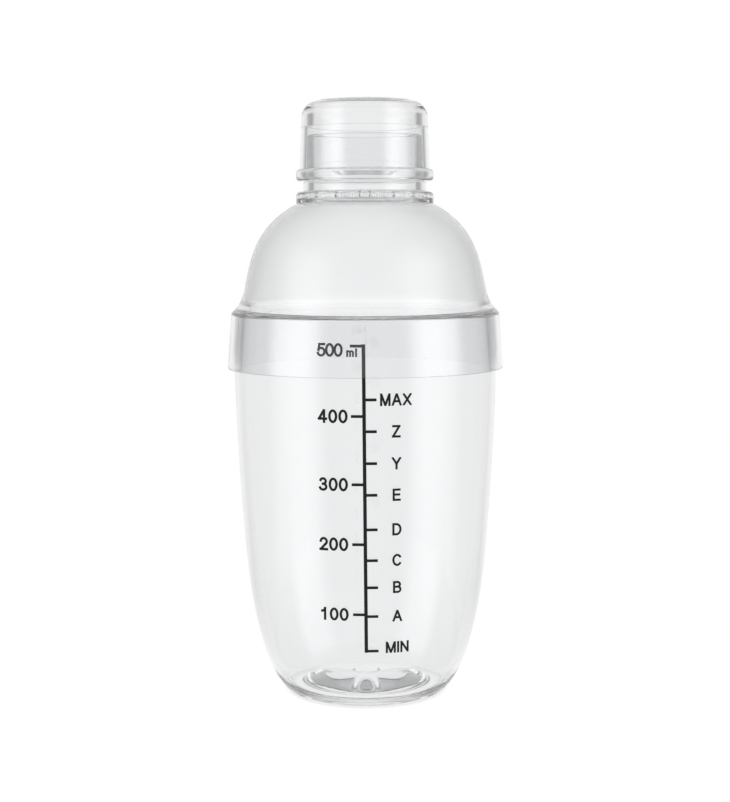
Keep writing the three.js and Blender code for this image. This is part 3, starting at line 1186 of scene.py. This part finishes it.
@dataclass
class Graduation:
    """The printed scale on the front of the cup: a spine, ticks, plain numbers and index letters."""

    cup: Cup
    film: float = 0.00004
    lift: float = 0.00001  # clear of the cup's face
    weld_mm: float = 0.0001  # ink edges closer than this are one
    spine_width: float = 0.0011
    spine_top: float = -0.0006  # the spine's place along the face at its two ends
    spine_foot: float = 0.0
    spine_points: int = 120
    tick_width: float = 0.0009
    tick_points: int = 6
    left_reach: float = 0.0036
    right_reach: float = 0.0034
    number_end: float = -0.0055  # right end of the numbers along the face
    top_number_end: float = -0.0068
    top_number_drop: float = 0.0012  # the top number stands lower than its tick
    unit_word: str = "ml"
    unit_end: float = -0.0025
    letter_place: float = 0.0099  # middle of the letters, from the spine
    numbers: Lettering = Lettering(0.0043, 0.0008, 0.0003)
    top_number: Lettering = Lettering(0.0042, 0.00075, -0.0002)
    letters: Lettering = Lettering(0.0039, 0.0007, 0.00035)
    units: Lettering = Lettering(0.0026, 0.00055, 0.00035)
    volumes: dict[str, float] = field(default_factory=lambda: {
        "500": 0.1174, "400": 0.0959, "300": 0.0747, "200": 0.0558, "100": 0.0332,
    })
    levels: dict[str, float] = field(default_factory=lambda: {
        "MAX": 0.1010, "Z": 0.0912, "Y": 0.0813, "E": 0.0714, "D": 0.0605,
        "C": 0.0507, "B": 0.0420, "A": 0.0326, "MIN": 0.0210,
    })
    lowest_lift: float = 0.0011  # the lowest word stands higher than its tick

    @property
    def top(self) -> float:
        """Height of the top tick."""
        return max(self.volumes.values())

    @property
    def foot(self) -> float:
        """Height of the lowest tick."""
        return min(self.levels.values())

    def spine_at(self, height: float) -> float:
        """Distance along the face of the spine's middle, at a height."""
        return float(np.interp(height, [self.foot, self.top], [self.spine_foot, self.spine_top]))

    def strips(self) -> list[np.ndarray]:
        """All that is inked.

        Returns:
            Flat strips of the spine, the ticks and the words, as distance along the cup's face and height.
        """
        heights = np.linspace(self.foot, self.top, self.spine_points)
        along = np.interp(heights, [self.foot, self.top], [self.spine_foot, self.spine_top])
        found = [inked(np.column_stack([along, heights]), self.spine_width)]
        for word, height in self.volumes.items():
            found += self.tick(height, -self.left_reach)
            found += self.number(word, height)
        for word, height in self.levels.items():
            found += self.tick(height, self.right_reach)
            lift = self.lowest_lift if height == self.foot else 0.0
            foot = height + lift - self.letters.height / 2
            place = (self.spine_at(height) + self.letter_place, foot)
            found += self.letters.strips(word, place, Align.MIDDLE)
        return found

    def number(self, word: str, height: float) -> list[np.ndarray]:
        """One number of the scale.

        Args:
            word: Its digits.
            height: Height of its tick.

        Returns:
            Strips of the number beside its tick, or of the top number lower down with the unit after it.
        """
        if height < self.top:
            place = (self.number_end, height - self.numbers.height / 2)
            return self.numbers.strips(word, place, Align.RIGHT)
        foot = height - self.top_number_drop - self.top_number.height / 2
        number = self.top_number.strips(word, (self.top_number_end, foot), Align.RIGHT)
        return number + self.units.strips(self.unit_word, (self.unit_end, foot), Align.RIGHT)

    def tick(self, height: float, reach: float) -> list[np.ndarray]:
        """One tick of the scale.

        Args:
            height: Where it leaves the spine.
            reach: Its length, below 0 for a tick to the left.

        Returns:
            Its one strip.
        """
        start = self.spine_at(height)
        along = np.linspace(start, start + reach, self.tick_points)
        return [inked(np.column_stack([along, np.full_like(along, height)]), self.tick_width)]

    def sheet(self) -> tuple[np.ndarray, np.ndarray]:
        """The union of all the strips as flat triangles.

        Returns:
            The points, as distance along the face and height, and the triangles, anticlockwise.
        """
        strips = self.strips()
        points = np.concatenate([strip.reshape(-1, 2) for strip in strips])
        offsets = np.cumsum([0] + [2 * len(strip) for strip in strips[:-1]])
        quads = np.concatenate([
            offset + 2 * np.arange(len(strip) - 1)[:, None] + np.array([0, 1, 3, 2])
            for offset, strip in zip(offsets, strips)
        ])
        flat = [Vector(point) for point in points * MILLIMETRES]
        union = delaunay_2d_cdt(flat, [], quads.tolist(), INSIDE_TRIANGLES, self.weld_mm)
        made, _, triangles, _, _, sources = union
        inked_over = np.array([len(source) > 0 for source in sources])
        return np.array(made) / MILLIMETRES, np.array(triangles)[inked_over]

    def wrapped(self, flat: np.ndarray, above: float) -> np.ndarray:
        """Flat points laid round the cup.

        Args:
            flat: Distance along the face and height, one row each.
            above: How far out from the face the points lie.

        Returns:
            Points in space: the angle from the front is the distance over the face's radius.
        """
        radius = self.cup.outer_radius(flat[:, 1])
        angle = flat[:, 0] / radius
        out = radius + above
        return np.column_stack([out * np.sin(angle), -out * np.cos(angle), flat[:, 1]])

    def build(self, finish: PrintedInk) -> bpy.types.Object:
        """Makes the print as a thin closed film that rides on the cup.

        The film's sides stand on its rim: the triangles' edges that no other triangle runs along backwards.

        Args:
            finish: The ink.

        Returns:
            The new piece.
        """
        flat, outer = self.sheet()
        shift = len(flat)
        points = np.vstack([self.wrapped(flat, self.lift + self.film), self.wrapped(flat, self.lift)])
        edges = np.concatenate([outer[:, [0, 1]], outer[:, [1, 2]], outer[:, [2, 0]]])
        forward = edges[:, 0] * shift + edges[:, 1]
        backward = edges[:, 1] * shift + edges[:, 0]
        rim = edges[~np.isin(backward, forward)]
        sides = np.column_stack([rim[:, 1], rim[:, 0], rim[:, 0] + shift, rim[:, 1] + shift])
        mesh = mesh_from("scale_print", points, [outer, outer[:, ::-1] + shift, sides])
        mesh.polygons.foreach_set("use_smooth", np.zeros(len(mesh.polygons), bool))
        piece = placed("scale_print", mesh, finish.material())
        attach(piece, "cup")
        return piece


# Studio


@dataclass(frozen=True)
class Studio:
    """A pale floor, a white surround for what is seen and soft panels for what is reflected."""

    floor_radius: float = 3.0
    floor_segments: int = 96
    floor_drop: float = 0.0002
    floor_colour: Colour = (0.93, 0.93, 0.93, 1.0)
    floor_reach: float = 0.5
    # How white the floor shows, by distance from the middle as a share of that reach
    floor_white: Stops = (
        (0.0, 1.0), (0.0474, 1.0), (0.0480, 0.03), (0.0503, 0.03), (0.0510, 1.0), (1.0, 1.0),
    )
    # How far the floor takes on the levels of the room round it, by the same distance
    floor_glow: Stops = ((0.0, 0.0), (0.09, 0.0), (0.3, 1.0), (1.0, 1.0))
    diffuse_level: float = 0.75
    # Levels round the room and on the floor, from in front of the shaker (0) to behind it (1)
    surround: Stops = (
        (0.0, 0.68), (0.20, 0.68), (0.29, 1.5), (0.44, 1.5),
        (0.52, 0.38), (0.78, 0.38), (0.85, 0.9), (1.0, 0.95),
    )
    floor_round: Stops = (
        (0.0, 0.68), (0.20, 0.68), (0.29, 1.3), (0.44, 1.3),
        (0.52, 0.76), (0.75, 0.76), (0.88, 0.92), (1.0, 0.94),
    )
    floor_level: float = 0.92  # close to the shaker
    overhead_level: float = 0.4
    # How far the overhead level takes over, from straight down (0) to straight up (1)
    overhead: Stops = ((0.0, 0.0), (0.66, 0.0), (0.74, 1.0), (1.0, 1.0))
    clear_bounces: int = 32  # enough for a ray through every wall and back
    gloss_bounces: int = 16

    def build(self) -> None:
        """Makes the floor, the surround and the view settings."""
        self.world()
        self.floor()
        scene = bpy.context.scene
        scene.view_settings.view_transform = "Standard"
        scene.cycles.max_bounces = self.clear_bounces
        scene.cycles.transmission_bounces = self.clear_bounces
        scene.cycles.glossy_bounces = self.gloss_bounces

    def seen(self, bench: Bench) -> Wire:
        """Which rays show something to the camera.

        Args:
            bench: Where to add the nodes.

        Returns:
            1 for a ray that comes straight or through gloss and clear plastic, else 0.
        """
        camera = bench.add("LightPath", output="Is Camera Ray")
        glossy = bench.add("LightPath", output="Is Glossy Ray")
        through = bench.add("LightPath", output="Is Transmission Ray")
        return bench.maths("MAXIMUM", camera, bench.maths("MAXIMUM", glossy, through))

    def round_room(self, bench: Bench, way: Wire) -> Wire:
        """How far round the room something lies.

        Args:
            bench: Where to add the nodes.
            way: A direction or a place.

        Returns:
            From 0 in front of the shaker to 1 behind it, on either side.
        """
        x = bench.add("SeparateXYZ", sockets={0: way}, output="X")
        y = bench.add("SeparateXYZ", sockets={0: way}, output="Y")
        return bench.maths("ARCTAN2", bench.maths("ABSOLUTE", x), y * -1.0) / math.pi

    def world(self) -> None:
        """Surround: white to the camera, panels of light in reflections and plain light otherwise."""
        world = bpy.data.worlds.new("surround")
        bpy.context.scene.world = world
        world.use_nodes = True
        bench = Bench(world.node_tree)
        way = bench.add("TexCoord", output="Generated")
        z = bench.add("SeparateXYZ", sockets={0: way}, output="Z")
        up = bench.maths("ARCSINE", z) / math.pi + 0.5
        panels = bench.add("ValToRGB", {"stops": self.surround}, {0: self.round_room(bench, way)})
        high = bench.add("ValToRGB", {"stops": self.overhead}, {0: up})
        reflected = panels + high * (self.overhead_level - panels)
        camera = bench.add("LightPath", output="Is Camera Ray")
        seen = self.seen(bench)
        level = camera + (1 - camera) * (seen * reflected + (1 - seen) * self.diffuse_level)
        shader = bench.add("Background", sockets={"Color": level, "Strength": 1.0})
        bench.add("OutputWorld", sockets={"Surface": shader})

    def floor(self) -> None:
        """A round floor: pale paint that keeps the shadow at the cup's foot, and plain white elsewhere."""
        angles = np.linspace(0.0, 2 * math.pi, self.floor_segments, endpoint=False)
        across = self.floor_radius * np.column_stack([np.cos(angles), np.sin(angles)])
        rim = np.column_stack([across, np.full(self.floor_segments, -self.floor_drop)])
        mesh = mesh_from("floor", rim, [np.arange(self.floor_segments)[None]])
        material, bench = new_material("pale_floor")
        place = bench.add("TexCoord", output="Object")
        reach = bench.add("VectorMath", {"operation": "LENGTH"}, {0: place}, output="Value")
        fade = bench.add("ValToRGB", {"stops": self.floor_white}, {0: reach / self.floor_reach})
        paint = bench.add("BsdfDiffuse", sockets={"Color": self.floor_colour})
        room = bench.add("ValToRGB", {"stops": self.floor_round}, {0: self.round_room(bench, place)})
        glow = bench.add("ValToRGB", {"stops": self.floor_glow}, {0: reach / self.floor_reach})
        camera = bench.add("LightPath", output="Is Camera Ray")
        bright = camera + (1 - camera) * (self.floor_level + glow * (room - self.floor_level))
        white = bench.add("Emission", sockets={"Color": bright, "Strength": 1.0})
        mixed = bench.add("MixShader", sockets={0: fade * self.seen(bench), 1: paint, 2: white})
        bench.add("OutputMaterial", sockets={"Surface": mixed})
        placed("floor", mesh, material)


@dataclass(frozen=True)
class Lamp:
    """A soft square lamp that looks at the shaker."""

    name: str
    place: tuple[float, float, float]
    target: tuple[float, float, float]
    size: float
    power: float

    def build(self) -> None:
        """Adds the lamp, out of sight of the camera and of reflections."""
        data = bpy.data.lights.new(self.name, "AREA")
        data.size = self.size
        data.energy = self.power
        lamp = bpy.data.objects.new(self.name, data)
        lamp.location = self.place
        aim = Vector(self.target) - Vector(self.place)
        lamp.rotation_euler = aim.to_track_quat("-Z", "Y").to_euler()
        lamp.visible_camera = False
        lamp.visible_glossy = False
        lamp.visible_transmission = False
        bpy.context.scene.collection.objects.link(lamp)


@dataclass(frozen=True)
class Viewpoint:
    """The camera, level with the dome and about half a metre away."""

    distance: float = 0.528
    aside: float = -0.00017
    height: float = 0.1495
    pitch_degrees: float = 84.254
    roll_degrees: float = -0.19
    lens: float = 71.82
    sensor: float = 36.0

    def build(self) -> None:
        """Adds the camera and makes it the scene's."""
        data = bpy.data.cameras.new("viewpoint")
        data.lens = self.lens
        data.sensor_width = self.sensor
        camera = bpy.data.objects.new("viewpoint", data)
        camera.location = (self.aside, -self.distance, self.height)
        pitch = Matrix.Rotation(math.radians(self.pitch_degrees), 3, "X")
        roll = Matrix.Rotation(math.radians(self.roll_degrees), 3, "Z")
        camera.rotation_euler = (pitch @ roll).to_euler()
        bpy.context.scene.collection.objects.link(camera)
        bpy.context.scene.camera = camera


LAMPS = (
    Lamp("left_soft", (-0.6, -0.6, 0.35), (0.0, 0.0, 0.14), 0.5, 2.9),
    Lamp("right_soft", (0.6, -0.6, 0.35), (0.0, 0.0, 0.14), 0.5, 2.6),
    Lamp("top_soft", (0.0, -0.1, 0.9), (0.0, 0.0, 0.0), 0.8, 1.4),
)


def report(piece: bpy.types.Object) -> None:
    """Logs a piece's name, faces and volume."""
    volume = closed_volume(piece.data) * MILLILITRES
    log.info("%s: %d faces, %.2f ml of material", piece.name, len(piece.data.polygons), volume)


def main() -> None:
    """Builds the studio and the shaker, and reports each piece."""
    logging.basicConfig(level=logging.INFO, format="%(name)s: %(message)s")
    Studio().build()
    for lamp in LAMPS:
        lamp.build()
    Viewpoint().build()
    cup = Cup()
    lid = StrainerLid(cup)
    report(cup.build(ClearPlastic("clear_body")))
    report(Graduation(cup).build(PrintedInk("black_ink")))
    report(lid.build(FrostedPlastic("frosted_dome")))
    report(Cap(lid).build(ClearPlastic("clear_crown")))


if __name__ == "__main__":
    main()
